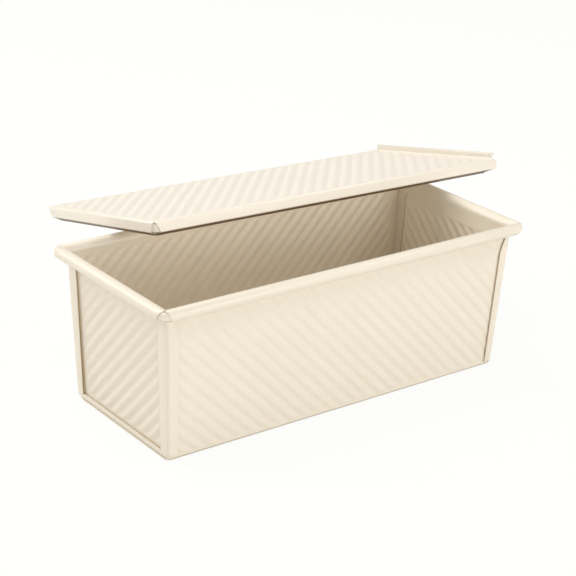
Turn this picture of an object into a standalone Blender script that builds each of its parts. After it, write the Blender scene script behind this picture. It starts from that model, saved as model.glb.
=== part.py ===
"""Pullman loaf pan with its slide-on lid, which is off its rails and held above the pan.

X runs along the pan, Y across it and Z up. The origin is the middle of the bottom's underside.
Lengths are in metres and angles in degrees. A drop is measured down from the middle of the rim's
roll.
"""
from math import atan, ceil, cos, degrees, floor, pi, radians, sin, sqrt, tan

import bmesh
import bpy
from mathutils import Vector

# Sheet metal
sheet = 0.0008
fit_gap = 0.0003
sharp_angle = 40

# Rolled rim, measured to the middle of its roll
rim_length = 0.281
rim_width = 0.1226
rim_height = 0.100
roll_radius = 0.0037
roll_turn = 265
rim_reach = 0.0043
rim_fillet = 0.0044

# Notch where two rolled edges meet at a corner of the rim
notch_top = 0.0012
notch_low = 0.0066
seam_gap = 0.0003

# Foot of the pan
base_length = 0.2633
base_width = 0.1055
trough_bend = 0.0020
bottom_setback = 0.0005
bottom_corner = 0.0012

# Corrugation of the pan's sheet
pitch = 0.0073
ripple_height = 0.00035
ripple_ramp = 0.0015
ripple_drop = 0.0040
seam_drop = 0.0030
merge_reach = 0.0002

# End cap: its bends, side flaps and lower flap
cap_bend = 0.0020
flap_foot_width = 0.0066
flap_cut_width = 0.0077
flap_top_width = 0.0046
flap_cut_drop = 0.0150
flap_top_drop = 0.0080
flap_to_ripple = 0.0006
neck_drop = 0.0045
lower_flap = 0.0065
lower_flap_side_gap = 0.0013

# End cap: its recessed panel, inside a border
border_low = 0.0082
border_high = 0.0110
recess_low = 0.0050
recess_drop = 0.0065
recess_depth = 0.0016
recess_slope = 0.0010

# Wire in the rim
wire_corner = 0.0050

# Lid: its fit on the rim
lid_side_gap = 0.0005
lid_end_gap = 0.0006
lid_top_gap = 0.0005

# Lid: its edges, which turn down and then in under the rim
lid_bend = 0.0012
lid_fold = 0.0006
hook_angle = 35
hook_length = 0.0052
hook_setback = 0.0080
lid_notch_low = 0.0048
ear_length = 0.0042
ear_top_share = 0.15

# Lid: its corrugated plate
lid_margin = 0.0030
lid_pitch = 0.0079
lid_ripple_angle = 50.5

# Lid: the lip that it is pulled by
lip_bend = 0.0015
lip_height = 0.0034
lip_roll = 0.0009
lip_side_gap = 0.0016

# Where the lid is held, with its left edge clear above the far rim
lid_along = 0.0437
lid_across = 0.0780
lid_clear = 0.0020
lid_turn = (-12.6, 1.5, 0.4)

# Steps of the round stretches
bend_steps = 4
roll_steps = 12
wire_steps = 6
wire_rings = 2

# Worked out from the sizes above
half_sheet = sheet / 2
roll_middle = roll_radius - half_sheet
wire_radius = roll_radius - sheet - fit_gap
rim_half_length = rim_length / 2
rim_half_width = rim_width / 2
side_slope = (rim_half_width - rim_reach - base_width / 2) / rim_height
end_slope = (rim_half_length - rim_reach - base_length / 2) / rim_height
neck_seam = seam_gap / sqrt(2)
cap_floor_height = sheet + fit_gap + half_sheet
cap_foot_height = cap_floor_height + cap_bend
recess_high = rim_height - recess_drop
lid_half_width = rim_half_width + roll_radius + lid_side_gap + half_sheet
lid_left = rim_half_length + roll_radius + lid_end_gap + half_sheet
hook_lean = radians(hook_angle)
roll_clear = roll_radius + lid_side_gap + half_sheet
fold_height = -sheet - lid_top_gap - roll_radius - roll_clear * (1 - sin(hook_lean)) / cos(hook_lean)
lid_depth = hook_length * sin(hook_lean) - fold_height + half_sheet
far_rim_drop = (rim_half_width - lid_across) * tan(radians(-lid_turn[0]))
left_edge_rise = lid_left * tan(radians(lid_turn[1]))
lid_height = rim_height + roll_radius + lid_clear + lid_depth + far_rim_drop - left_edge_rise


def side_face(height):
    """Outer face of a long wall at a height, out from the middle of the pan."""
    return base_width / 2 + side_slope * height


def end_face(height):
    """Outer face of an end wall at a height, out from the middle of the pan."""
    return base_length / 2 + end_slope * height


def arc(centre, radius, start, stop, steps):
    """Points of an arc in a plane, from one angle in degrees to another."""
    points = []
    for step in range(steps + 1):
        angle = radians(start + (stop - start) * step / steps)
        points.append((centre[0] + radius * cos(angle), centre[1] + radius * sin(angle)))
    return points


def rim_profile():
    """The rim's section as (out, height, flatness, notch) from the roll's middle.

    It runs up the neck, over the fillet and round the roll. Flatness is 1 where the sheet lies
    flat and 0 where it stands upright. Notch is how far the row stops short of the corner.
    """
    rows = []
    neck = -rim_reach - half_sheet
    for step in range(bend_steps + 1):
        angle = pi / 2 * step / bend_steps
        out = neck + rim_fillet - rim_fillet * cos(angle)
        height = roll_middle - rim_fillet + rim_fillet * sin(angle)
        rows.append((out, height, sin(angle), 0))
    for step in range(roll_steps + 1):
        angle = radians(roll_turn) * step / roll_steps
        notch = notch_top + (notch_low - notch_top) * min(angle / pi, 1) ** 2
        rows.append((roll_middle * sin(angle), roll_middle * cos(angle), abs(cos(angle)), notch))
    return rows


def rim_end(out, flatness, notch, half_span):
    """How far a rim row runs along its edge, to the corner's seam or to the notch."""
    seam = half_span + out - neck_seam - half_sheet * (1 - flatness)
    return min(seam, half_span - notch) if notch else seam


def verts(bm, points):
    """New vertices at the points."""
    return [bm.verts.new(point) for point in points]


def add_rows(bm, rows):
    """Faces between neighbouring rows of vertices."""
    for low, high in zip(rows, rows[1:]):
        for start in range(len(low) - 1):
            bm.faces.new((low[start], low[start + 1], high[start + 1], high[start]))


def new_sheet():
    """An empty sheet, with a face layer that marks the panels to be corrugated."""
    bm = bmesh.new()
    bm.faces.layers.int.new("panel")
    return bm


def mark_panel(bm, face):
    """Marks one face as the next panel and returns the layer and the mark."""
    layer = bm.faces.layers.int["panel"]
    mark = 1 + max(other[layer] for other in bm.faces)
    face[layer] = mark
    return layer, mark


def cut(bm, layer, mark, place, direction):
    """Cuts the marked faces along a plane."""
    faces = [face for face in bm.faces if face[layer] == mark]
    edges = list({edge for face in faces for edge in face.edges})
    points = list({vert for face in faces for vert in face.verts})
    bmesh.ops.bisect_plane(bm, geom=faces + edges + points, plane_co=place, plane_no=direction)


def corrugate(bm, face, wave, spacing, outward):
    """Presses straight ripples into one flat face.

    The wave direction is in the face's plane. The ripples run out to nothing at its edges.
    """
    layer, mark = mark_panel(bm, face)
    middle = face.calc_center_median()
    borders = []
    for loop in face.loops:
        start = loop.vert.co.copy()
        along = (loop.link_loop_next.vert.co - start).normalized()
        inward = outward.cross(along)
        if inward.dot(middle - start) < 0:
            inward.negate()
        borders.append((start, inward))
    for start, inward in borders:
        cut(bm, layer, mark, start + inward * ripple_ramp, inward)
    wave = (wave - outward * wave.dot(outward)).normalized()
    reach = [wave.dot(start - middle) for start, inward in borders]
    half = spacing / 2
    for line in range(ceil(min(reach) / half), floor(max(reach) / half) + 1):
        cut(bm, layer, mark, middle + wave * half * line, wave)
    points = list({vert for other in bm.faces if other[layer] == mark for vert in other.verts})
    bmesh.ops.remove_doubles(bm, verts=points, dist=merge_reach)
    pressed = {vert for other in bm.faces if other[layer] == mark for vert in other.verts}
    for vert in pressed:
        depth = min(inward.dot(vert.co - start) for start, inward in borders)
        phase = wave.dot(vert.co - middle) / spacing
        swing = 1 - 4 * abs(phase - round(phase))
        vert.co += outward * ripple_height * swing * max(0, min(1, depth / ripple_ramp))


def material(name, colour, roughness, metallic):
    """A coated or bare metal."""
    made = bpy.data.materials.new(name)
    made.use_nodes = True
    shader = made.node_tree.nodes["Principled BSDF"]
    shader.inputs["Base Color"].default_value = (*colour, 1)
    shader.inputs["Roughness"].default_value = roughness
    shader.inputs["Metallic"].default_value = metallic
    return made


def place_mesh(name, mesh, finish):
    """Puts a mesh in the scene as an object, shaded smooth, with its finish."""
    mesh.name = name
    mesh.shade_smooth()
    mesh.materials.clear()
    mesh.materials.append(finish)
    made = bpy.data.objects.new(name, mesh)
    bpy.context.scene.collection.objects.link(made)
    return made


def thicken(bm, name, finish):
    """Makes an object of sheet metal from the middle surface that bm holds."""
    bmesh.ops.recalc_face_normals(bm, faces=bm.faces[:])
    surface = bpy.data.meshes.new(name)
    bm.to_mesh(surface)
    bm.free()
    made = place_mesh(name, surface, finish)
    modifier = made.modifiers.new("sheet", "SOLIDIFY")
    modifier.thickness = sheet
    modifier.offset = 0
    modifier.use_even_offset = True
    bpy.context.view_layer.update()
    solid = bpy.data.meshes.new_from_object(made.evaluated_get(bpy.context.evaluated_depsgraph_get()))
    bpy.data.objects.remove(made)
    bpy.data.meshes.remove(surface)
    made = place_mesh(name, solid, finish)
    solid.set_sharp_from_angle(angle=radians(sharp_angle))
    return made


def flap_corners():
    """Corners of a side flap's free edge as (height, out from the middle of the pan)."""
    heights = (cap_foot_height, rim_height - flap_cut_drop, rim_height - flap_top_drop)
    widths = (flap_foot_width, flap_cut_width, flap_top_width)
    return [(height, end_face(height) - width) for height, width in zip(heights, widths)]


def trough_half_rows():
    """Half the trough's section, from the bottom out, as (out, height, reach along X)."""
    lean = atan(side_slope)
    bend_height = half_sheet + trough_bend
    bend_out = side_face(bend_height) - half_sheet - trough_bend / cos(lean)
    inner_end = half_sheet + cap_bend
    rows = [(bend_out - bottom_corner, half_sheet, end_face(0) - bottom_setback)]
    for out, height in arc((bend_out, bend_height), trough_bend, -90, -degrees(lean), bend_steps):
        rows.append((out, height, end_face(height) - inner_end))
    for drop in (ripple_drop, seam_drop):
        height = rim_height - drop
        rows.append((side_face(height) - half_sheet, height, end_face(height) - inner_end))
    for out, height, flatness, notch in rim_profile():
        reach = rim_end(out, flatness, notch, rim_half_length)
        rows.append((rim_half_width + out, rim_height + height, reach))
    return rows


def wall_panel(bm, side):
    """The stretch of a long wall between its end caps' flaps."""
    walls = [face for face in bm.faces if side * face.calc_center_median().y > base_width / 4]
    wall = max(walls, key=lambda face: face.calc_area())
    middle = wall.calc_center_median()
    layer, mark = mark_panel(bm, wall)
    ripple_edge = min(out for height, out in flap_corners()) - flap_to_ripple
    for end in (-1, 1):
        cut(bm, layer, mark, (end * ripple_edge, 0, 0), (end, 0, 0))
    pieces = [face for face in bm.faces if face[layer] == mark]
    for face in pieces:
        face[layer] = 0
    return min(pieces, key=lambda face: (face.calc_center_median() - middle).length)


def make_trough(finish):
    """The bottom and both long walls in one folded sheet."""
    bm = new_sheet()
    half = trough_half_rows()
    section = [(-out, height, reach) for out, height, reach in reversed(half)] + half
    add_rows(bm, [verts(bm, ((-reach, out, height), (reach, out, height))) for out, height, reach in section])
    for side in (-1, 1):
        outward = Vector((0, side, -side_slope)).normalized()
        corrugate(bm, wall_panel(bm, side), Vector((-side, 0, 1)), pitch, outward)
    return thicken(bm, "body_trough", finish)


def cap_middle(height):
    """Middle of an end wall's sheet, out from the middle of the pan."""
    return end_face(height) - half_sheet


def flap_middle(height):
    """Middle of a side flap's sheet, out from the middle of the pan."""
    return side_face(height) + fit_gap + half_sheet


def cap_row(bm, out, reach, height):
    """A row of two vertices across the end cap at the -X end."""
    return verts(bm, ((-out, -reach, height), (-out, reach, height)))


def add_flap(bm, side):
    """One side flap and the bend that it hangs from; returns the bend's edge on the end wall."""
    rows = []
    for step in range(bend_steps + 1):
        angle = pi / 2 * step / bend_steps
        row = []
        for height, edge in flap_corners():
            out = cap_middle(height) - cap_bend + cap_bend * cos(angle)
            along = flap_middle(height) - cap_bend + cap_bend * sin(angle)
            row.append((-out, side * along, height))
        rows.append(verts(bm, row))
    rows.append(verts(bm, [(-edge, side * flap_middle(height), height) for height, edge in flap_corners()]))
    add_rows(bm, rows)
    return rows[0]


def add_cap_rim(bm):
    """The rolled edge of the end cap; returns its lowest row."""
    rows = []
    for out, height, flatness, notch in rim_profile():
        reach = rim_end(out, flatness, notch, rim_half_width)
        rows.append(cap_row(bm, rim_half_length + out, reach, rim_height + height))
    add_rows(bm, rows)
    return rows[0]


def add_lower_flap(bm):
    """The flap that lies on the bottom inside; returns its edge on the end wall."""
    reach = side_face(half_sheet + trough_bend) - half_sheet - trough_bend - lower_flap_side_gap
    bend_middle = cap_middle(cap_foot_height) - cap_bend
    rows = []
    for out, drop in arc((bend_middle, 0), cap_bend, 0, 90, bend_steps):
        rows.append(cap_row(bm, out, reach, cap_foot_height - drop))
    rows.append(cap_row(bm, bend_middle - lower_flap, reach, cap_floor_height))
    add_rows(bm, rows)
    return rows[0]


def border_edge(height):
    """Inner edge of the raised border at a height, out from the middle of the pan."""
    share = (height - recess_low) / (recess_high - recess_low)
    border = border_low + (border_high - border_low) * share
    return flap_middle(height) + half_sheet - border


def add_cap_face(bm, flaps, rim, foot):
    """The end wall's border and the slope in to its panel; returns the panel's face."""
    rows = []
    for height, slope in ((recess_low, recess_slope), (recess_high, -recess_slope)):
        inner = height + slope
        border = cap_row(bm, cap_middle(height), border_edge(height), height)
        panel = cap_row(bm, cap_middle(inner) - recess_depth, border_edge(inner) - recess_slope, inner)
        rows.append((border, panel))
    (low, low_panel), (high, high_panel) = rows
    neck_height = rim_height - neck_drop
    neck_out = cap_middle(neck_height)
    neck_reach = neck_out - rim_half_length + rim_half_width - neck_seam - half_sheet
    neck = cap_row(bm, neck_out, neck_reach, neck_height)
    bm.faces.new((foot[0], foot[1], low[1], low[0]))
    for end in (0, 1):
        bm.faces.new([low[end], foot[end]] + flaps[end] + [neck[end], rim[end], high[end]])
        bm.faces.new((low[end], high[end], high_panel[end], low_panel[end]))
    bm.faces.new((rim[0], rim[1], high[1], high[0]))
    for border, panel in rows:
        bm.faces.new((border[0], border[1], panel[1], panel[0]))
    return bm.faces.new((low_panel[0], low_panel[1], high_panel[1], high_panel[0]))


def make_cap(name, finish):
    """An end wall with its flaps and rolled edge, modelled at the -X end."""
    bm = new_sheet()
    flaps = [add_flap(bm, side) for side in (-1, 1)]
    panel = add_cap_face(bm, flaps, add_cap_rim(bm), add_lower_flap(bm))
    outward = Vector((-1, 0, -end_slope)).normalized()
    corrugate(bm, panel, Vector((0, 1, 1)), pitch, outward)
    return thicken(bm, name, finish)


def make_wire(finish):
    """The wire ring inside the rolled rim."""
    curve = bpy.data.curves.new("rim_wire", "CURVE")
    curve.dimensions = "3D"
    curve.bevel_depth = wire_radius
    curve.bevel_resolution = wire_rings
    points = []
    corner_x = rim_half_length - wire_corner
    corner_y = rim_half_width - wire_corner
    for x_side, y_side, start in ((1, 1, 0), (-1, 1, 90), (-1, -1, 180), (1, -1, 270)):
        centre = (x_side * corner_x, y_side * corner_y)
        points += arc(centre, wire_corner, start, start + 90, wire_steps)
    spline = curve.splines.new("POLY")
    spline.points.add(len(points) - 1)
    for point, (across, along) in zip(spline.points, points):
        point.co = (across, along, rim_height, 1)
    spline.use_cyclic_u = True
    guide = bpy.data.objects.new("rim_wire", curve)
    bpy.context.scene.collection.objects.link(guide)
    solid = bpy.data.meshes.new_from_object(guide)
    bpy.data.objects.remove(guide)
    bpy.data.curves.remove(curve)
    return place_mesh("rim_wire", solid, finish)


def lid_edge_profile():
    """Section of a turned-down edge of the lid, as (inset, height, corner, ear).

    Inset is in from the edge's outer side. Corner is how far the row stops short of the lid's
    left corner, and ear how far it runs past the plate's right end.
    """
    face_top = -half_sheet - lid_bend
    face_height = face_top - fold_height - lid_fold
    section = []
    for turned, risen in arc((0, 0), lid_bend, 90, 0, bend_steps):
        section.append((lid_bend - turned, face_top + risen))
    for step in range(1, bend_steps + 1):
        section.append((0, face_top - face_height * step / bend_steps))
    rows = []
    for inset, height in section:
        share = (height + half_sheet) / (fold_height + half_sheet)
        corner = max(lid_bend + (lid_notch_low - lid_bend) * share, inset)
        ear = ear_length * sin(pi * min(share + ear_top_share, 1)) if rows else 0
        rows.append((inset, height, corner, ear))
    for length in (lid_fold, hook_length):
        inset = length * cos(hook_lean)
        rows.append((inset, fold_height - length * sin(hook_lean), lid_notch_low + inset, -hook_setback))
    return rows


def add_lid_edges(bm):
    """Both long edges and the left edge, turned down; returns the plate's edge at each side."""
    profile = lid_edge_profile()
    plate = []
    for hand in (-1, 1):
        rows = []
        for inset, height, corner, ear in profile:
            across = hand * (lid_half_width - inset)
            ends = (corner - lid_left, rim_half_length + ear)
            rows.append(verts(bm, [(along, across, height) for along in ends]))
        add_rows(bm, rows)
        plate.append(rows[0])
    rows = [[plate[0][0], plate[1][0]]]
    for inset, height, corner, ear in profile[1:]:
        reach = lid_half_width - corner
        rows.append(verts(bm, ((inset - lid_left, -reach, height), (inset - lid_left, reach, height))))
    add_rows(bm, rows)
    return plate


def add_lip(bm):
    """The upright lip at the right end, rolled at its top; returns its edge on the plate."""
    reach = lid_half_width - lid_bend - lip_side_gap
    upright = arc((rim_half_length, lip_bend - half_sheet), lip_bend, -90, 0, bend_steps)
    rolled = arc((rim_half_length + lip_bend + lip_roll, lip_height), lip_roll, 180, 0, bend_steps)
    rows = [verts(bm, ((out, -reach, height), (out, reach, height))) for out, height in upright + rolled]
    add_rows(bm, rows)
    return rows[0]


def make_lid(finish):
    """The lid in its own axes: its origin is over the middle of the pan, at its top face."""
    bm = new_sheet()
    near, far = add_lid_edges(bm)
    lip = add_lip(bm)
    left_x = lid_bend + lid_margin - lid_left
    right_x = rim_half_length - lid_margin
    reach = lid_half_width - lid_bend - lid_margin
    corners = ((left_x, -reach), (right_x, -reach), (right_x, reach), (left_x, reach))
    inner = verts(bm, [(along, across, -half_sheet) for along, across in corners])
    bm.faces.new((near[0], near[1], inner[1], inner[0]))
    bm.faces.new((near[1], lip[0], lip[1], far[1], inner[2], inner[1]))
    bm.faces.new((far[1], far[0], inner[3], inner[2]))
    bm.faces.new((far[0], near[0], inner[0], inner[3]))
    angle = radians(lid_ripple_angle)
    corrugate(bm, bm.faces.new(inner), Vector((sin(angle), -cos(angle), 0)), lid_pitch, Vector((0, 0, 1)))
    return thicken(bm, "lid", finish)


for old in list(bpy.data.objects):
    bpy.data.objects.remove(old)

body_coat = material("body_coat", (0.80, 0.72, 0.57), 0.42, 0.1)
left_coat = material("left_coat", (0.76, 0.68, 0.54), 0.42, 0.1)
right_coat = material("right_coat", (0.76, 0.68, 0.54), 0.42, 0.1)
lid_coat = material("lid_coat", (0.86, 0.79, 0.65), 0.40, 0.1)
wire_coat = material("wire_coat", (0.66, 0.57, 0.44), 0.45, 0.3)

make_trough(body_coat)
make_cap("end_cap_left", left_coat)
right_cap = make_cap("end_cap_right", right_coat)
right_cap.rotation_euler = (0, 0, pi)
make_wire(wire_coat)
lid = make_lid(lid_coat)
carrier = bpy.data.objects.new("lid_carrier", None)
bpy.context.scene.collection.objects.link(carrier)
carrier.location = (lid_along, lid_across, lid_height)
lid.parent = carrier
lid.rotation_euler = [radians(angle) for angle in lid_turn]
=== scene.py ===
"""Looks of the corrugated loaf pan and its slide-on lid.

The frame gives the rim's size and height; the other sizes are named here. Lengths are in metres and
angles in degrees. A drop is measured down from the middle of the rim's roll.
"""

from math import atan, ceil, cos, degrees, floor, pi, radians, sin, sqrt, tan

import bmesh
import bpy
from mathutils import Euler, Matrix, Vector


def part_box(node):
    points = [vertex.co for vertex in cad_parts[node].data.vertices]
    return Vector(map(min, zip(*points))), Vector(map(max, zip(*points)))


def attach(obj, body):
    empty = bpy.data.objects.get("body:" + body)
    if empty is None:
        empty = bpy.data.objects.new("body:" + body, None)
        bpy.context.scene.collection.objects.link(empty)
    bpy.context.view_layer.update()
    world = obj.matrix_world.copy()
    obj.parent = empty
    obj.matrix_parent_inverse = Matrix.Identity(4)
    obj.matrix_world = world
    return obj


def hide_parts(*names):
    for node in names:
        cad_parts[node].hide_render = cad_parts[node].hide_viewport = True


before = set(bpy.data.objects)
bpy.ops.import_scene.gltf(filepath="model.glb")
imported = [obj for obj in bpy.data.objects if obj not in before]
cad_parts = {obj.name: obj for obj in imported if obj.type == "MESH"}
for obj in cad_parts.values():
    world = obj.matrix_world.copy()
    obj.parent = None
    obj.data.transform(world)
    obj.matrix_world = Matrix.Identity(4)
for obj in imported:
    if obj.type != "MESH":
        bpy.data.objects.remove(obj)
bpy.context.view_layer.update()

# Sizes read from the frame
wire_low, wire_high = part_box("rim_wire")
trough_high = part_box("body_trough")[1]
wire_radius = (wire_high.z - wire_low.z) / 2
rim_height = (wire_high.z + wire_low.z) / 2
rim_half_length = wire_high.x - wire_radius
rim_half_width = wire_high.y - wire_radius
roll_radius = trough_high.z - rim_height

# Sheet metal
sheet = 0.0008
fit_gap = 0.0003
edge_rounding = 0.00018
edge_rounding_steps = 2
edge_angle = 50
merge_reach = 0.00005

# Rolled rim, and the notch at its corners
roll_turn = 265
rim_reach = 0.0043
rim_fillet = 0.0044
notch_top = 0.0012
notch_low = 0.0066
seam_gap = 0.0003

# Foot of the pan
base_length = 0.2633
base_width = 0.1055
trough_bend = 0.0020
bottom_setback = 0.0005
bottom_corner = 0.0012

# Ripples: a ripple's height is half its swing
pitch = 0.0073
wall_ripple_height = 0.0004
end_ripple_height = 0.00072
bottom_ripple_height = 0.00015
ripple_fade = 0.0036
ripple_lines = 8
fade_rings = 4
ripple_drop = 0.0040
seam_drop = 0.0030

# End cap: its bends, side flaps and lower flap
cap_bend = 0.0020
flap_foot_width = 0.0066
flap_cut_width = 0.0077
flap_top_width = 0.0046
flap_cut_drop = 0.0150
flap_top_drop = 0.0053
flap_rounding = 0.0030
flap_levels = 9
flap_to_ripple = 0.0006
neck_drop = 0.0045
lower_flap = 0.0065
lower_flap_side_gap = 0.0013

# End cap: its recessed panel, inside a border and a groove
border_low = 0.0082
border_high = 0.0110
recess_low = 0.0050
recess_drop = 0.0065
recess_depth = 0.0016
recess_slope = 0.0005
recess_top_slope = 0.0025
groove_width = 0.0011
groove_depth = 0.0008

# Lid: its fit on the rim
lid_side_gap = 0.0005
lid_end_gap = 0.0006
lid_top_gap = 0.0005

# Lid: its edges, which turn down and then in under the rim
lid_bend = 0.0012
lid_fold = 0.0006
hook_angle = 35
hook_length = 0.0052
hook_reach = 0.0024
hook_setback = 0.0080
far_hook_setback = 0.0120
lid_notch_low = 0.0048
ear_length = 0.0028
ear_squareness = 2.5

# Lid: its corrugated plate and its pull lip
lid_margin = 0.0012
lid_pitch = 0.0079
lid_ripple_angle = 50.5
lid_ripple_height = 0.00055
lip_bend = 0.0015
lip_height = 0.0028
lip_roll = 0.0009
lip_side_gap = 0.0016

# Where the lid is held, clear of the far rim
lid_along = 0.0437
lid_across = 0.0780
lid_clear = 0.0020
lid_turn = (-12.6, 1.5, 0.4)

# Fillings in the notches of the rim and the lid, and corners that close the caps' foot
corner_gap = 0.0001
corner_tuck = 0.0006
corner_top_turn = 12
corner_full_turn = 210
corner_run = 0.0020
corner_levels = 18
lid_corner_levels = 8
lid_corner_bend_levels = 2
lid_corner_back = 0.0030
foot_turn = 80

# Steps of the round stretches
bend_steps = 8
roll_steps = 30
smooth_angle = 32

# Signs of X and Y at the four corners, going round
four_corners = ((-1, -1), (1, -1), (1, 1), (-1, 1))

# Coating: its colours, its faint clouding, and the grain of a sprayed finish
pan_light = (0.865, 0.785, 0.65, 1)
pan_dark = (0.825, 0.74, 0.605, 1)
# The lid's colours are paler than the pan's as painted light, standing in for the stronger light on its top;
# it is the same coating
lid_lit_pale = (0.92, 0.85, 0.73, 1)
lid_lit_deep = (0.88, 0.805, 0.68, 1)
# Browns of painted shade; the first also colours bare steel on sheared edges
shade_and_bare_steel_brown = (0.33, 0.21, 0.075, 1)
lid_shade_brown = (0.12, 0.065, 0.022, 1)
metallic = 0.05
coat_weight = 0.22
coat_roughness = 0.25
pan_roughness = 0.40
lid_roughness = 0.38
roughness_spread = 0.12
cloud_scale = 16
grain_scale = 1400
spray_scale = 420
coarse_detail = 3
fine_detail = 2
cloud_share = 0.7
spray_share = 0.6
grain_strength = 0.12
grain_depth = 0.0002

# Painted shade in creases and along the foot, and brown on the flaps' sheared edges for bare steel and for
# the painted shade of the gap beside them
crease_reach = 0.00042
crease_sharpness = 0.6
low_crease_reach = 0.00025
low_crease_share = 0.6
sheared_width = 0.0005
sheared_share = 0.6
foot_line = 0.0018
foot_line_fade = 0.0004
foot_line_share = 0.65

# Painted shade under the rim's roll and on the lid's lip
shade_top = 0.0026
shade_low = 0.0060
shade_fade = 0.0008
roll_shade_share = 0.5
lip_shade_share = 0.15

# Studio: the floor, the light from all round, and lamps as (name, place, size, power)
floor_size = 12
floor_colour = (0.78, 0.78, 0.76, 1)
floor_roughness = 0.9
floor_glow_colour = (0.99, 0.99, 0.97, 1)
floor_glow = 1.03
floor_glow_share = 0.90
world_colour = (1, 0.995, 0.98, 1)
world_strength = 0.44
lamp_aim = Vector((0, 0, 0.06))
lamps = (
    ("back_softbox", (-1.05, 1.20, 1.15), 0.8, 13.5),
    ("front_softbox", (0.50, -1.90, 0.45), 1.0, 15.5),
    ("right_softbox", (0.95, -0.60, 1.15), 0.35, 4.2),
    ("top_softbox", (-0.16, 0.55, 1.50), 0.8, 9.5),
    ("left_softbox", (-1.30, -0.45, 0.14), 0.5, 2.8),
)

# Camera of the photograph
camera_place = (-0.62905, -0.81106, 0.48751)
camera_forward = Vector((0.56417, 0.73309, -0.37986))
camera_roll = 2.224
photo_width = 576
focal_pixels = 1702
sensor = 36
near_clip = 0.01
far_clip = 50

# Worked out from the sizes above
half_sheet = sheet / 2
roll_middle = roll_radius - half_sheet
side_slope = (rim_half_width - rim_reach - base_width / 2) / rim_height
end_slope = (rim_half_length - rim_reach - base_length / 2) / rim_height
neck_seam = seam_gap / sqrt(2)
cap_floor_height = sheet + fit_gap + half_sheet
cap_foot_height = cap_floor_height + cap_bend
neck_height = rim_height - neck_drop
recess_high = rim_height - recess_drop
flap_cut_height = rim_height - flap_cut_drop
flap_top_height = rim_height - flap_top_drop
floor_reach = base_width / 2 + side_slope * (half_sheet + trough_bend) - half_sheet - trough_bend
lid_half_width = rim_half_width + roll_radius + lid_side_gap + half_sheet
lid_left = rim_half_length + roll_radius + lid_end_gap + half_sheet
hook_lean = radians(hook_angle)
roll_clear = roll_radius + lid_side_gap + half_sheet
fold_height = -sheet - lid_top_gap - roll_radius - roll_clear * (1 - sin(hook_lean)) / cos(hook_lean)
lid_depth = hook_length * sin(hook_lean) - fold_height + half_sheet
far_rim_drop = (rim_half_width - lid_across) * tan(radians(-lid_turn[0]))
left_edge_rise = lid_left * tan(radians(lid_turn[1]))
lid_height = rim_height + roll_radius + lid_clear + lid_depth + far_rim_drop - left_edge_rise
lid_place = Euler([radians(angle) for angle in lid_turn]).to_matrix().to_4x4()
lid_place.translation = (lid_along, lid_across, lid_height)


def side_face(height):
    """Outer face of a long wall at a height, out from the middle of the pan."""
    return base_width / 2 + side_slope * height


def end_face(height):
    """Outer face of an end wall at a height, out from the middle of the pan."""
    return base_length / 2 + end_slope * height


def arc(centre, radius, start, stop, steps):
    """Points of an arc in a plane, from one angle in degrees to another."""
    points = []
    for step in range(steps + 1):
        angle = radians(start + (stop - start) * step / steps)
        points.append((centre[0] + radius * cos(angle), centre[1] + radius * sin(angle)))
    return points


def planes(axis, places):
    """Planes square to X, Y or Z (0, 1 or 2) at the places along it."""
    direction = Vector((axis == 0, axis == 1, axis == 2))
    return [(direction * place, direction) for place in places]


def middle_of(item):
    """Middle of a vertex, an edge or a face in edit mode."""
    points = [item.co] if isinstance(item, bmesh.types.BMVert) else [vert.co for vert in item.verts]
    return sum(points, Vector()) / len(points)


def name_piece(name):
    """Names the active piece and its mesh."""
    piece = bpy.context.object
    piece.name = name
    piece.data.name = name
    return piece


def turn_faces_outward():
    """Turns every face of the active piece outward, and leaves edit mode."""
    bpy.ops.object.mode_set(mode="EDIT")
    bpy.ops.mesh.select_all(action="SELECT")
    bpy.ops.mesh.normals_make_consistent(inside=False)
    bpy.ops.object.mode_set(mode="OBJECT")


def apply(piece, kind, **settings):
    """Adds one modifier to the piece and applies it."""
    modifier = piece.modifiers.new(kind.lower(), kind)
    for name, value in settings.items():
        setattr(modifier, name, value)
    bpy.ops.object.modifier_apply(modifier=modifier.name)


def thicken(piece):
    """Gives a piece the sheet's thickness, half of it to each side."""
    apply(piece, "SOLIDIFY", thickness=sheet, offset=0, use_even_offset=True)
    turn_faces_outward()


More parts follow.
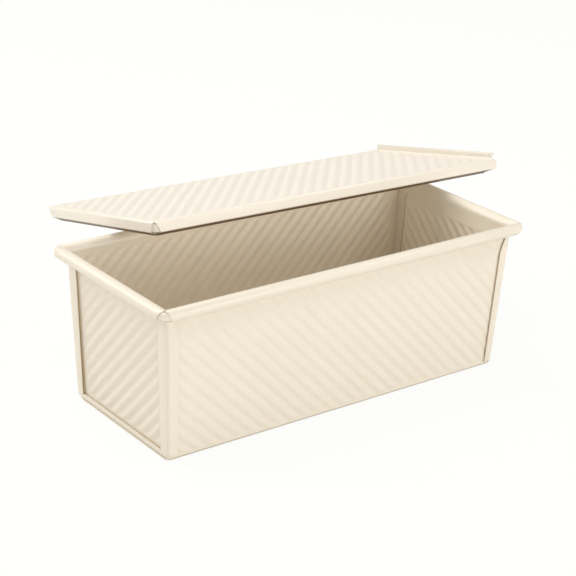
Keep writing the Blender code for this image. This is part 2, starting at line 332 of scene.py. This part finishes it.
class Sheet:
    """Sheet metal that is shaped in edit mode along the middle of its thickness."""

    def __init__(self, name, corners):
        """Starts from a flat blank whose corners go to the four places."""
        bpy.ops.object.select_all(action="DESELECT")
        bpy.ops.mesh.primitive_plane_add(size=1)
        self.piece = name_piece(name)
        bpy.ops.object.mode_set(mode="EDIT")
        bpy.context.tool_settings.mesh_select_mode = (False, True, False)
        for vert, place in zip(self.mesh().verts, corners):
            vert.co = place
        bmesh.update_edit_mesh(self.piece.data)

    def mesh(self):
        return bmesh.from_edit_mesh(self.piece.data)

    def pick(self, kind, test):
        """Selects only the verts, edges or faces that show and whose middle passes the test."""
        bpy.ops.mesh.select_all(action="DESELECT")
        for item in getattr(self.mesh(), kind):
            if not item.hide and test(middle_of(item)):
                item.select_set(True)
        bmesh.update_edit_mesh(self.piece.data)

    def picked(self):
        return [vert for vert in self.mesh().verts if vert.select]

    def cut(self, *cuts):
        """Cuts all that shows along planes of (place, direction)."""
        for place, direction in cuts:
            bpy.ops.mesh.select_all(action="SELECT")
            bpy.ops.mesh.bisect(plane_co=place, plane_no=direction)

    def cut_within(self, test, *cuts):
        """Cuts only the faces whose middle passes the test."""
        self.pick("faces", test)
        bpy.ops.mesh.hide(unselected=True)
        self.cut(*cuts)
        bpy.ops.mesh.reveal(select=False)

    def extend(self, test, rows):
        """Draws edges out through rows of two end points, of which the first is where they lie."""
        self.pick("edges", test)
        start = rows[0]
        for row in rows[1:]:
            bpy.ops.mesh.extrude_region_move()
            span = Vector(start[1]) - Vector(start[0])
            for vert in self.picked():
                share = (vert.co - Vector(start[0])).dot(span) / span.length_squared
                vert.co = Vector(row[0]).lerp(Vector(row[1]), share)
            start = row
        bmesh.update_edit_mesh(self.piece.data)

    def corrugate(self, test, corners, wave, spacing, outward, height, rise=0):
        """Presses rounded ripples into the faces of one flat panel, given its corners in order."""
        self.pick("faces", test)
        bpy.ops.mesh.hide(unselected=True)
        middle = sum((Vector(corner) for corner in corners), Vector()) / len(corners)
        borders = []
        for corner, following in zip(corners, corners[1:] + corners[:1]):
            inward = outward.cross(Vector(following) - Vector(corner)).normalized()
            if inward.dot(middle - Vector(corner)) < 0:
                inward.negate()
            borders.append((Vector(corner), inward))
        for ring in range(1, fade_rings + 1):
            inset = ripple_fade * ring / fade_rings
            self.cut(*[(place + inward * inset, inward) for place, inward in borders])
        wave = (wave - outward * wave.dot(outward)).normalized()
        reach = [wave.dot(place - middle) for place, inward in borders]
        step = spacing / ripple_lines
        lines = range(ceil(min(reach) / step), floor(max(reach) / step) + 1)
        self.cut(*[(middle + wave * step * line, wave) for line in lines])
        for vert in self.mesh().verts:
            if vert.hide:
                continue
            depth = min(inward.dot(vert.co - place) for place, inward in borders)
            share = max(0, min(1, depth / ripple_fade))
            swing = cos(2 * pi * wave.dot(vert.co - middle) / spacing) + rise
            vert.co += outward * height * swing * share * share * (3 - 2 * share)
        bmesh.update_edit_mesh(self.piece.data)
        bpy.ops.mesh.reveal(select=False)

    def finish(self, finish, body, node, slot, turn=None):
        """Gives the sheet its thickness, rounded edges, finish and place in the frame."""
        bpy.ops.mesh.select_all(action="SELECT")
        bpy.ops.mesh.remove_doubles(threshold=merge_reach)
        bpy.ops.object.mode_set(mode="OBJECT")
        thicken(self.piece)
        rounding = {"width": edge_rounding, "segments": edge_rounding_steps}
        apply(self.piece, "BEVEL", limit_method="ANGLE", angle_limit=radians(edge_angle), **rounding)
        settle(self.piece, finish, body, node, turn)


def settle(piece, finish, body, node, turn=None):
    """Turns a piece to its place, puts that place in its mesh and ties it to the frame."""
    bpy.ops.object.select_all(action="DESELECT")
    piece.select_set(True)
    bpy.context.view_layer.objects.active = piece
    if turn:
        piece.matrix_world = turn
    bpy.ops.object.transform_apply(location=True, rotation=True, scale=True)
    bpy.ops.object.shade_smooth_by_angle(angle=radians(smooth_angle))
    piece.data.materials.clear()
    piece.data.materials.append(finish)
    if node:
        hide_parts(node)
    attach(piece, body)


def notch_at(turn):
    """How far the rim's notch cuts into each edge where the roll has turned this far."""
    return notch_top + (notch_low - notch_top) * min(turn / 180, 1) ** 2


def rim_profile():
    """The rim's section as (out, height, flatness, notch) from the roll's middle."""
    rows = []
    neck = -rim_reach - half_sheet
    for step in range(bend_steps + 1):
        angle = pi / 2 * step / bend_steps
        out = neck + rim_fillet - rim_fillet * cos(angle)
        height = roll_middle - rim_fillet + rim_fillet * sin(angle)
        rows.append((out, height, sin(angle), 0))
    for step in range(roll_steps + 1):
        turn = roll_turn * step / roll_steps
        angle = radians(turn)
        rows.append((roll_middle * sin(angle), roll_middle * cos(angle), abs(cos(angle)), notch_at(turn)))
    return rows


def rim_end(out, flatness, notch, half_span):
    """How far a rim row runs along its edge, to the corner's seam or to the notch."""
    seam = half_span + out - neck_seam - half_sheet * (1 - flatness)
    return min(seam, half_span - notch) if notch else seam


def flap_line():
    """A side flap's free edge: its place at the cut's height, and its slopes below and above."""
    cut_edge = end_face(flap_cut_height) - flap_cut_width
    lower = (cut_edge - end_face(cap_foot_height) + flap_foot_width) / (flap_cut_height - cap_foot_height)
    upper = (end_face(flap_top_height) - flap_top_width - cut_edge) / (flap_top_height - flap_cut_height)
    return cut_edge, lower, upper


def flap_edge(height):
    """Free edge of a side flap at a height: upright, then slanting out to the corner."""
    cut_edge, lower, upper = flap_line()
    past = height - flap_cut_height
    if abs(past) < flap_rounding:
        ramp = (past + flap_rounding) ** 2 / (4 * flap_rounding)
    else:
        ramp = max(past, 0)
    return cut_edge + lower * past + (upper - lower) * ramp


def trough_rows():
    """Half the trough's section past its bottom as (out, height, reach along X)."""
    lean = atan(side_slope)
    bend_height = half_sheet + trough_bend
    bend_out = side_face(bend_height) - half_sheet - trough_bend / cos(lean)
    inner_end = half_sheet + cap_bend
    rows = []
    for out, height in arc((bend_out, bend_height), trough_bend, -90, -degrees(lean), bend_steps):
        rows.append((out, height, end_face(height) - inner_end))
    for drop in (ripple_drop, seam_drop):
        height = rim_height - drop
        rows.append((side_face(height) - half_sheet, height, end_face(height) - inner_end))
    for out, height, flatness, notch in rim_profile():
        reach = rim_end(out, flatness, notch, rim_half_length)
        rows.append((rim_half_width + out, rim_height + height, reach))
    return rows


def make_trough(finish):
    """The bottom and both long walls in one folded sheet."""
    rows = trough_rows()
    length = end_face(0) - bottom_setback
    width = rows[0][0] - bottom_corner
    corners = [(x * length, y * width, half_sheet) for y in (-1, 1) for x in (-1, 1)]
    trough = Sheet("loaf_pan_trough", corners)
    section = [(width, half_sheet, length)] + rows
    for side in (-1, 1):
        ends = [[(x * reach, side * out, height) for x in (-1, 1)] for out, height, reach in section]
        trough.extend(lambda place: side * place.y > width - merge_reach, ends)

    low, high = rows[bend_steps][1], rows[bend_steps + 1][1]
    ripple_edge = flap_edge(flap_cut_height) - flap_to_ripple
    for side in (-1, 1):

        def on_wall(place):
            return side * place.y > 0 and low < place.z < high

        def on_panel(place):
            return on_wall(place) and abs(place.x) < ripple_edge

        trough.cut_within(on_wall, *planes(0, (ripple_edge, -ripple_edge)))
        ends = ((-1, low), (1, low), (1, high), (-1, high))
        panel = [(x * ripple_edge, side * (side_face(z) - half_sheet), z) for x, z in ends]
        outward = Vector((0, side, -side_slope)).normalized()
        trough.corrugate(on_panel, panel, Vector((-side, 0, 1)), pitch, outward, wall_ripple_height)

    bottom_end = end_face(0) - cap_bend - lower_flap - sheet - fit_gap
    bottom_side = floor_reach - lower_flap_side_gap
    edges = planes(0, (-bottom_end, bottom_end)) + planes(1, (-bottom_side, bottom_side))
    trough.cut_within(lambda place: place.z < sheet, *edges)
    panel = [(x * bottom_end, y * bottom_side, half_sheet) for x, y in four_corners]

    def on_bottom(place):
        return place.z < sheet and abs(place.x) < bottom_end and abs(place.y) < bottom_side

    wave = Vector((-1, 1, 0))
    trough.corrugate(on_bottom, panel, wave, pitch, Vector((0, 0, 1)), bottom_ripple_height, 1)
    trough.finish(finish, "pan", "body_trough", "pan_coating")


def cap_middle(height):
    """Middle of an end wall's sheet, out from the middle of the pan."""
    return end_face(height) - half_sheet


def flap_middle(height):
    """Middle of a side flap's sheet, out from the middle of the pan."""
    return side_face(height) + fit_gap + half_sheet


def border_edge(height):
    """Inner edge of the raised border at a height, out from the middle of the pan."""
    share = (height - recess_low) / (recess_high - recess_low)
    return flap_middle(height) + half_sheet - border_low - (border_high - border_low) * share


def cap_ends(out, reach, height):
    """Two points across the end cap at the -X end."""
    return [(-out, y * reach, height) for y in (-1, 1)]


def press_recess(cap):
    """Sets the end wall's panel back inside its border and corrugates it."""
    outward = Vector((-1, 0, -end_slope)).normalized()
    for side in (-1, 1):
        low = Vector((-cap_middle(recess_low), side * border_edge(recess_low), recess_low))
        high = Vector((-cap_middle(recess_high), side * border_edge(recess_high), recess_high))
        cap.cut((low, (high - low).cross(outward)))
    cap.cut(*planes(2, (recess_low, recess_high)))

    def inside(place):
        return recess_low < place.z < recess_high and abs(place.y) < border_edge(place.z)

    def panel_corner(side, low, margin, depth):
        height = recess_low + margin if low else recess_high - recess_top_slope - margin
        inset = depth if low else recess_depth
        return Vector((inset - cap_middle(height), side * (border_edge(height) - margin), height))

    panel_margin = recess_slope + groove_width
    middle = (recess_low + recess_high) / 2
    cap.pick("faces", inside)
    for margin, depth in ((recess_slope, recess_depth + groove_depth), (panel_margin, recess_depth)):
        bpy.ops.mesh.inset(thickness=merge_reach, depth=0)
        for vert in cap.picked():
            vert.co = panel_corner(1 if vert.co.y > 0 else -1, vert.co.z < middle, margin, depth)
    ends = ((-1, True), (1, True), (1, False), (-1, False))
    corners = [panel_corner(side, low, panel_margin, recess_depth) for side, low in ends]

    def on_panel(place):
        inner = abs(place.y) < border_edge(place.z) - panel_margin
        return inner and recess_low + panel_margin < place.z < recess_high - recess_top_slope - panel_margin

    cap.corrugate(on_panel, corners, Vector((0, 1, 1)), pitch, outward, end_ripple_height)


def make_cap(name, node, finish, turn=None):
    """An end wall with its flaps and rolled edge, modelled at the -X end."""
    face_reach = {height: flap_middle(height) - cap_bend for height in (cap_foot_height, neck_height)}
    corners = []
    for height, reach in face_reach.items():
        corners += cap_ends(cap_middle(height), reach, height)
    cap = Sheet(name, corners)
    press_recess(cap)

    step = (neck_height - flap_cut_height + flap_rounding) / flap_levels
    levels = [flap_cut_height - flap_rounding + step * number for number in range(flap_levels)]
    levels = [height for height in levels if height < flap_top_height - step / 2] + [flap_top_height]
    for side in (-1, 1):
        cap.cut_within(lambda place: side * place.y > border_edge(place.z), *planes(2, levels))

    ends = (cap_foot_height, flap_top_height)
    for side in (-1, 1):
        rows = []
        for number in range(bend_steps + 1):
            angle = pi / 2 * number / bend_steps
            row = []
            for height in ends:
                out = cap_middle(height) - cap_bend + cap_bend * cos(angle)
                along = flap_middle(height) - cap_bend + cap_bend * sin(angle)
                row.append((-out, side * along, height))
            rows.append(row)
        rows.append([(-flap_edge(height), side * flap_middle(height), height) for height in ends])

        def on_side(place):
            past = side * place.y - flap_middle(place.z) + cap_bend
            return abs(past) < merge_reach and place.z < flap_top_height

        cap.extend(on_side, rows)
        for vert in cap.picked():
            vert.co.x = -flap_edge(vert.co.z)

    lower = floor_reach - lower_flap_side_gap

    def below_panel(place):
        return place.z < recess_low and abs(place.y) < border_edge(place.z) + border_low / 2

    def on_foot(place):
        return abs(place.z - cap_foot_height) < merge_reach and abs(place.y) < lower

    cap.cut_within(below_panel, *planes(1, (-lower, lower)))
    bend_out = cap_middle(cap_foot_height) - cap_bend
    bend = arc((bend_out, 0), cap_bend, 0, 90, bend_steps)
    rows = [cap_ends(out, lower, cap_foot_height - drop) for out, drop in bend]
    rows.append(cap_ends(bend_out - lower_flap, lower, cap_floor_height))
    cap.extend(on_foot, rows)

    rows = [cap_ends(cap_middle(neck_height), face_reach[neck_height], neck_height)]
    for out, height, flatness, notch in rim_profile():
        reach = rim_end(out, flatness, notch, rim_half_width)
        rows.append(cap_ends(rim_half_length + out, reach, rim_height + height))
    cap.extend(lambda place: place.z > neck_height - merge_reach, rows)
    cap.finish(finish, "pan", node, "pan_coating", turn)


def lid_notch_at(share):
    """How far the lid's notch cuts in, from its plate (0) to its fold (1)."""
    return lid_bend + (lid_notch_low - lid_bend) * share


def lid_profile():
    """Section of a turned-down edge of the lid, as (inset, height, corner, far_corner, ear).

    Inset is in from the edge's outer side. Corner and far_corner are how far the row stops short
    of the lid's left corners, and ear how far it runs past the plate's right end.
    """
    face_top = -half_sheet - lid_bend
    face_height = face_top - fold_height - lid_fold
    section = []
    for turned, risen in arc((0, 0), lid_bend, 90, 0, bend_steps):
        section.append((lid_bend - turned, face_top + risen))
    for step in range(1, bend_steps + 1):
        section.append((0, face_top - face_height * step / bend_steps))
    rows = []
    for inset, height in section:
        share = (height + half_sheet) / (fold_height + half_sheet)
        corner = max(lid_notch_at(share), inset)
        past_middle = abs(2 * share - 1)
        ear = ear_length * (1 - past_middle ** ear_squareness) ** (1 / ear_squareness) if rows else 0
        rows.append((inset, height, corner, corner, ear))
    for length in (lid_fold, hook_reach):
        inset = length * cos(hook_lean)
        height = fold_height - length * sin(hook_lean)
        corner = inset + fit_gap
        rows.append((inset, height, corner, corner + far_hook_setback, -hook_setback))
    return rows


def make_lid(finish, turn):
    """The lid, shaped in its own axes with its origin over the middle of the pan."""
    rows = lid_profile()
    top = -half_sheet
    left = lid_bend - lid_left
    right = rim_half_length
    reach = lid_half_width - lid_bend
    lid = Sheet("loaf_pan_lid", [(x, y * reach, top) for y in (-1, 1) for x in (left, right)])
    for side in (-1, 1):
        ends = []
        for inset, height, corner, far_corner, ear in rows:
            across = side * (lid_half_width - inset)
            start = far_corner if side > 0 else corner
            ends.append([(start - lid_left, across, height), (right + ear, across, height)])
        lid.extend(lambda place: side * place.y > reach - merge_reach, ends)

    def on_top(place):
        return place.z > top - merge_reach

    def on_left_edge(place):
        return on_top(place) and place.x < left + merge_reach and abs(place.y) < reach - merge_reach

    ends = []
    for inset, height, corner, far_corner, ear in rows:
        across = (corner - lid_half_width, lid_half_width - far_corner)
        ends.append([(inset - lid_left, y, height) for y in across])
    lid.extend(on_left_edge, ends)

    side = reach - lid_margin
    lip_reach = reach - lip_side_gap
    low, high = left + lid_margin, right - lid_margin
    lid.cut_within(on_top, *planes(0, (low, high)), *planes(1, (-side, side, -lip_reach, lip_reach)))

    def on_lip_edge(place):
        return on_top(place) and place.x > right - merge_reach and abs(place.y) < lip_reach

    upright = arc((right, lip_bend + top), lip_bend, -90, 0, bend_steps)
    rolled = arc((right + lip_bend + lip_roll, lip_height), lip_roll, 180, 0, bend_steps)
    ends = [[(out, y * lip_reach, height) for y in (-1, 1)] for out, height in upright + rolled]
    lid.extend(on_lip_edge, ends)

    def on_plate(place):
        return abs(place.z - top) < merge_reach and low < place.x < high and abs(place.y) < side

    panel = [(low, -side, top), (high, -side, top), (high, side, top), (low, side, top)]
    angle = radians(lid_ripple_angle)
    wave = Vector((sin(angle), -cos(angle), 0))
    lid.corrugate(on_plate, panel, wave, lid_pitch, Vector((0, 0, 1)), lid_ripple_height)
    lid.finish(finish, "lid", "lid", "lid_coating", turn)


class Value:
    """A value in a material's nodes; arithmetic on it adds Math nodes."""

    def __init__(self, finish, socket):
        self.finish = finish
        self.socket = socket

    def math(self, operation, first, second):
        return self.finish.add("ShaderNodeMath", {"operation": operation}, {0: first, 1: second})

    def __add__(self, other):
        return self.math("ADD", self, other)

    def __sub__(self, other):
        return self.math("SUBTRACT", self, other)

    def __rsub__(self, other):
        return self.math("SUBTRACT", other, self)

    def __mul__(self, other):
        return self.math("MULTIPLY", self, other)

    def __truediv__(self, other):
        return self.math("DIVIDE", self, other)

    def __pow__(self, other):
        return self.math("POWER", self, other)

    def __abs__(self):
        return self.math("ABSOLUTE", self, 0)

    def larger(self, other):
        return self.math("MAXIMUM", self, other)

    def clipped(self):
        """The value held between 0 and 1."""
        return self.finish.add("ShaderNodeMath", {"operation": "ADD", "use_clamp": True}, {0: self, 1: 0})

    __radd__ = __add__
    __rmul__ = __mul__


class Finish:
    """A material and its nodes."""

    def __init__(self, name, **constants):
        self.material = bpy.data.materials.new(name)
        self.material.use_nodes = True
        self.tree = self.material.node_tree
        self.shader = self.tree.nodes["Principled BSDF"]
        for socket, value in constants.items():
            self.shader.inputs[socket.replace("_", " ")].default_value = value

    def add(self, kind, settings=None, inputs=None, output=0):
        """Adds a node, sets it, fills or links its sockets and returns one of its outputs."""
        node = self.tree.nodes.new(kind)
        for name, value in (settings or {}).items():
            setattr(node, name, value)
        for name, value in (inputs or {}).items():
            self.feed(node.inputs[name], value)
        return Value(self, node.outputs[output])

    def feed(self, socket, value):
        if isinstance(value, Value):
            self.tree.links.new(value.socket, socket)
        else:
            socket.default_value = value

    def noise(self, scale, detail):
        """Noise between 0 and 1 on the object's own metres."""
        place = self.add("ShaderNodeTexCoord", output="Object")
        return self.add("ShaderNodeTexNoise", None, {"Vector": place, "Scale": scale, "Detail": detail})

    def axes(self):
        """The place on the object in metres, as three values."""
        place = self.add("ShaderNodeTexCoord", output="Object")
        apart = self.tree.nodes.new("ShaderNodeSeparateXYZ")
        self.feed(apart.inputs[0], place)
        return [Value(self, apart.outputs[axis]) for axis in range(3)]

    def mix(self, share, first, second):
        inputs = {0: share, 6: first, 7: second}
        return self.add("ShaderNodeMix", {"data_type": "RGBA"}, inputs, output=2)


def under_roll(height, out):
    """Painted shade where the rim's roll turns under and on the wall below it, outside a sheet's middle."""
    below = rim_height - height
    band = ((below - shade_top) / shade_fade).clipped() * ((shade_low - below) / shade_fade).clipped()
    return band * (out / half_sheet).clipped() * roll_shade_share


def at_foot(height):
    """Painted shade, a contact line, on the lowest part of the bends round the pan's foot."""
    return ((foot_line - height) / foot_line_fade).clipped() * foot_line_share


def trough_shade(finish):
    """Painted shade on the trough: under the rim's roll and at the foot."""
    across, height = finish.axes()[1:]
    out = abs(across)
    rolled = under_roll(height, out - height * side_slope - base_width / 2 + half_sheet)
    return rolled.larger(at_foot(height) * ((out - floor_reach) / half_sheet).clipped())


def cap_shade(finish):
    """Painted shade on an end cap in its creases, at the foot and under the roll, and brown on sheared edges:
    bare steel there, and painted shade of the gap beside them.
    """
    along, across, height = finish.axes()
    out = abs(across)
    edge_slope = (border_edge(recess_high) - border_edge(recess_low)) / (recess_high - recess_low)
    inward = border_edge(0) + height * edge_slope - out
    above = height - recess_low
    below = recess_high - height
    crease_middle = crease_reach - merge_reach
    side = (1 - abs(inward - crease_middle) / crease_reach).clipped()
    side = side * (above / crease_reach).clipped() * (below / crease_reach).clipped()
    low = (1 - abs(above - recess_slope) / low_crease_reach).clipped() * (inward / crease_reach).clipped()
    creases = side.larger(low * low_crease_share) ** crease_sharpness

    cut_edge, lower, upper = flap_line()
    past = height - flap_cut_height
    ramp = ((past + flap_rounding) / (2 * flap_rounding)).clipped() ** 2 * flap_rounding
    ramp = ramp + (past - flap_rounding).larger(0)
    edge = cut_edge + past * lower + ramp * (upper - lower)
    sheared = ((edge + sheared_width - abs(along)) / edge_rounding).clipped()
    past_side = out - height * side_slope - base_width / 2
    past_end = abs(along) - height * end_slope - base_length / 2
    sheared = sheared * (past_side / edge_rounding).clipped() * (along / edge_rounding).clipped()
    shade_and_bare_edges = creases.larger(sheared * sheared_share)
    shade_and_bare_edges = shade_and_bare_edges.larger(at_foot(height) * ((past_end + half_sheet) / half_sheet).clipped())
    return shade_and_bare_edges.larger(under_roll(height, past_side.larger(past_end) + half_sheet))


def lid_shade(finish):
    """Painted shade on the lid: under its hooks, and a little on its pull lip."""
    place = finish.axes()
    own = lid_place.inverted()
    along, height = [sum(place[axis] * row[axis] for axis in range(3)) + row[3] for row in (own[0], own[2])]
    hooks = ((fold_height + sheet - height) / sheet).clipped()
    lip = (height / half_sheet).clipped() * ((along - rim_half_length) / sheet).clipped()
    return hooks.larger(lip * lip_shade_share)


def coating(name, light, dark, roughness, shade, brown):
    """Satin non-stick coating, with faint clouding and the grain of a sprayed finish, mixed towards brown by
    the shade mask: painted shade, and bare steel on sheared edges.
    """
    finish = Finish(name, Metallic=metallic, Coat_Weight=coat_weight, Coat_Roughness=coat_roughness)
    cloud = finish.noise(cloud_scale, coarse_detail)
    grain = finish.noise(grain_scale, fine_detail)
    spray = finish.noise(spray_scale, coarse_detail)
    share = cloud * cloud_share + grain * (1 - cloud_share)
    colour = finish.mix(share, light, dark)
    # Painted shade: the mask darkens the colour towards brown, which on sheared edges also stands for bare
    # steel
    colour = finish.mix(shade(finish), colour, brown)
    finish.feed(finish.shader.inputs["Base Color"], colour)
    finish.feed(finish.shader.inputs["Roughness"], roughness + spray * roughness_spread)
    height = spray * spray_share + grain * (1 - spray_share)
    inputs = {"Strength": grain_strength, "Distance": grain_depth, "Height": height}
    finish.feed(finish.shader.inputs["Normal"], finish.add("ShaderNodeBump", None, inputs))
    return finish.material


def corner_section(x_side, y_side, corner, inset, radius, height, back):
    """A filling seen from above: an arc round the corner, and an arm back along each edge."""
    middle = (corner[0] - inset, corner[1] - inset)
    end = (middle[0] - corner_run, middle[1] - corner_run)
    inner = (corner[0] - back, corner[1] - back)
    points = arc(middle, radius, 0, 90, bend_steps)
    points += [(end[0], points[-1][1]), (end[0], inner[1]), inner, (inner[0], end[1]), (points[0][0], end[1])]
    return [(x_side * x, y_side * y, height) for x, y in points]


def build_up(name, sections):
    """A closed piece drawn up through sections of the same number of points."""
    bpy.ops.object.select_all(action="DESELECT")
    bpy.ops.mesh.primitive_circle_add(vertices=len(sections[0]), fill_type="NGON")
    piece = name_piece(name)
    bpy.ops.object.mode_set(mode="EDIT")
    bpy.context.tool_settings.mesh_select_mode = (False, False, True)
    for number, section in enumerate(sections):
        if number:
            bpy.ops.mesh.extrude_region_move()
        chosen = [vert for vert in bmesh.from_edit_mesh(piece.data).verts if vert.select]
        for vert, place in zip(chosen, section):
            vert.co = place
        bmesh.update_edit_mesh(piece.data)
    turn_faces_outward()
    return piece


def join(name, pieces):
    """Joins the pieces into one object."""
    bpy.ops.object.select_all(action="DESELECT")
    for piece in pieces:
        piece.select_set(True)
    bpy.context.view_layer.objects.active = pieces[0]
    bpy.ops.object.join()
    return name_piece(name)


def make_rim_corners(finish):
    """The rounded fillings that show in the notches at the rim's four corners."""
    fillet_inside = rim_fillet - half_sheet - corner_gap
    levels = []
    for level in range(corner_levels + 1):
        turn = corner_top_turn + (corner_full_turn - corner_top_turn) * level / corner_levels
        inset = notch_at(turn) + corner_tuck
        share = min(max(turn / 90 - 1, 0), 1)
        roll = roll_radius - sheet - corner_gap + half_sheet * share
        height = roll * cos(radians(turn))
        above = max(height - roll_middle + rim_fillet, 0)
        back = rim_reach + half_sheet - rim_fillet + sqrt(fillet_inside ** 2 - above ** 2)
        levels.append((inset, inset + roll * sin(radians(turn)), rim_height + height, back))
    corner = (rim_half_length, rim_half_width)
    pieces = []
    for x_side, y_side in four_corners:
        sections = [corner_section(x_side, y_side, corner, *level) for level in levels]
        pieces.append(build_up("rim_corner", sections))
    settle(join("loaf_pan_rim_corners", pieces), finish, "pan", None)


def make_lid_corners(finish, turn):
    """The rounded fillings that show in the notches at the lid's left corners."""
    corner = (lid_left, lid_half_width)
    inner = half_sheet + corner_gap
    top = -sheet - corner_gap
    pieces = []
    for y_side in (-1, 1):
        sections = []
        for level in range(lid_corner_levels + 1):
            share = level / lid_corner_levels
            height = top + (fold_height - top) * share
            inset = lid_notch_at(share) + corner_tuck
            past_bend = lid_bend * (1 - min(1, level / lid_corner_bend_levels))
            radius = inset - inner - (lid_bend - sqrt(lid_bend ** 2 - past_bend ** 2))
            sections.append(corner_section(-1, y_side, corner, inset, radius, height, lid_corner_back))
        pieces.append(build_up("lid_corner", sections))
    settle(join("loaf_pan_lid_corners", pieces), finish, "lid", None, turn)


def lay_sheet(name, rows):
    """A sheet laid through rows of places and given its thickness."""
    bpy.ops.object.select_all(action="DESELECT")
    bpy.ops.mesh.primitive_grid_add(x_subdivisions=len(rows[0]) - 1, y_subdivisions=len(rows) - 1)
    piece = name_piece(name)
    for vert, place in zip(piece.data.vertices, [place for row in rows for place in row]):
        vert.co = place
    thicken(piece)
    return piece


def make_foot_corners(finish):
    """The rounded corners that close the end caps' foot under their upright bends."""
    middle_x = cap_middle(cap_foot_height) - cap_bend
    middle_y = flap_middle(cap_foot_height) - cap_bend
    start_y = floor_reach - lower_flap_side_gap + fit_gap
    pieces = []
    for x_side, y_side in four_corners:
        rows = []
        for level in range(bend_steps + 1):
            turn = radians(foot_turn) * level / bend_steps
            plan = [(middle_x + cap_bend * cos(turn), start_y)]
            plan += arc((middle_x, middle_y), cap_bend * cos(turn), 0, 90, bend_steps)
            height = cap_foot_height - cap_bend * sin(turn)
            rows.append([(x_side * x, y_side * y, height) for x, y in plan])
        pieces.append(lay_sheet("foot_corner", rows))
    settle(join("loaf_pan_foot_corners", pieces), finish, "pan", None)


def make_stage():
    """A white floor that keeps a faint shadow, and soft studio light."""
    bpy.ops.object.select_all(action="DESELECT")
    bpy.ops.mesh.primitive_plane_add(size=floor_size)
    ground = name_piece("studio_floor")
    white = Finish("studio_white", Base_Color=floor_colour, Roughness=floor_roughness)
    rays = white.tree.nodes.new("ShaderNodeLightPath").outputs
    seen = sum(Value(white, rays["Is " + ray + " Ray"]) for ray in ("Camera", "Glossy", "Transmission"))
    glow = white.add("ShaderNodeEmission", None, {"Color": floor_glow_colour, "Strength": floor_glow})
    surface = Value(white, white.shader.outputs[0])
    shown = white.add("ShaderNodeMixShader", None, {0: seen * floor_glow_share, 1: surface, 2: glow})
    white.feed(white.tree.nodes["Material Output"].inputs["Surface"], shown)
    ground.data.materials.append(white.material)

    world = bpy.data.worlds.new("studio")
    bpy.context.scene.world = world
    world.use_nodes = True
    light = world.node_tree.nodes["Background"].inputs
    light["Color"].default_value = world_colour
    light["Strength"].default_value = world_strength
    for name, place, size, power in lamps:
        lamp = bpy.data.objects.new(name, bpy.data.lights.new(name, "AREA"))
        bpy.context.scene.collection.objects.link(lamp)
        lamp.data.energy = power
        lamp.data.size = size
        lamp.location = place
        lamp.rotation_euler = (lamp_aim - Vector(place)).to_track_quat("-Z", "Y").to_euler()


def make_camera():
    """The photograph's view."""
    camera = bpy.data.objects.new("photo_camera", bpy.data.cameras.new("photo_camera"))
    bpy.context.scene.collection.objects.link(camera)
    camera.data.sensor_width = sensor
    camera.data.lens = sensor * focal_pixels / photo_width
    camera.location = camera_place
    level = camera_forward.to_track_quat("-Z", "Y").to_matrix()
    camera.rotation_euler = (level @ Matrix.Rotation(radians(camera_roll), 3, "Z")).to_euler()
    camera.data.clip_start = near_clip
    camera.data.clip_end = far_clip
    bpy.context.scene.camera = camera


make_camera()
make_stage()
pan_cream = coating("pan_cream_coating", pan_light, pan_dark, pan_roughness, trough_shade, shade_and_bare_steel_brown)
lid_cream = coating("lid_cream_coating", lid_lit_pale, lid_lit_deep, lid_roughness, lid_shade, lid_shade_brown)
make_trough(pan_cream)
end_cream = coating("end_cream_coating", pan_light, pan_dark, pan_roughness, cap_shade, shade_and_bare_steel_brown)
make_cap("loaf_pan_left_end", "end_cap_left", end_cream)
make_cap("loaf_pan_right_end", "end_cap_right", end_cream, Matrix.Rotation(pi, 4, "Z"))
make_lid(lid_cream, lid_place)
make_rim_corners(pan_cream)
make_foot_corners(pan_cream)
make_lid_corners(lid_cream, lid_place)
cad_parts["rim_wire"].data.materials.clear()
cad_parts["rim_wire"].data.materials.append(pan_cream)

bpy.context.scene.view_settings.view_transform = "Standard"
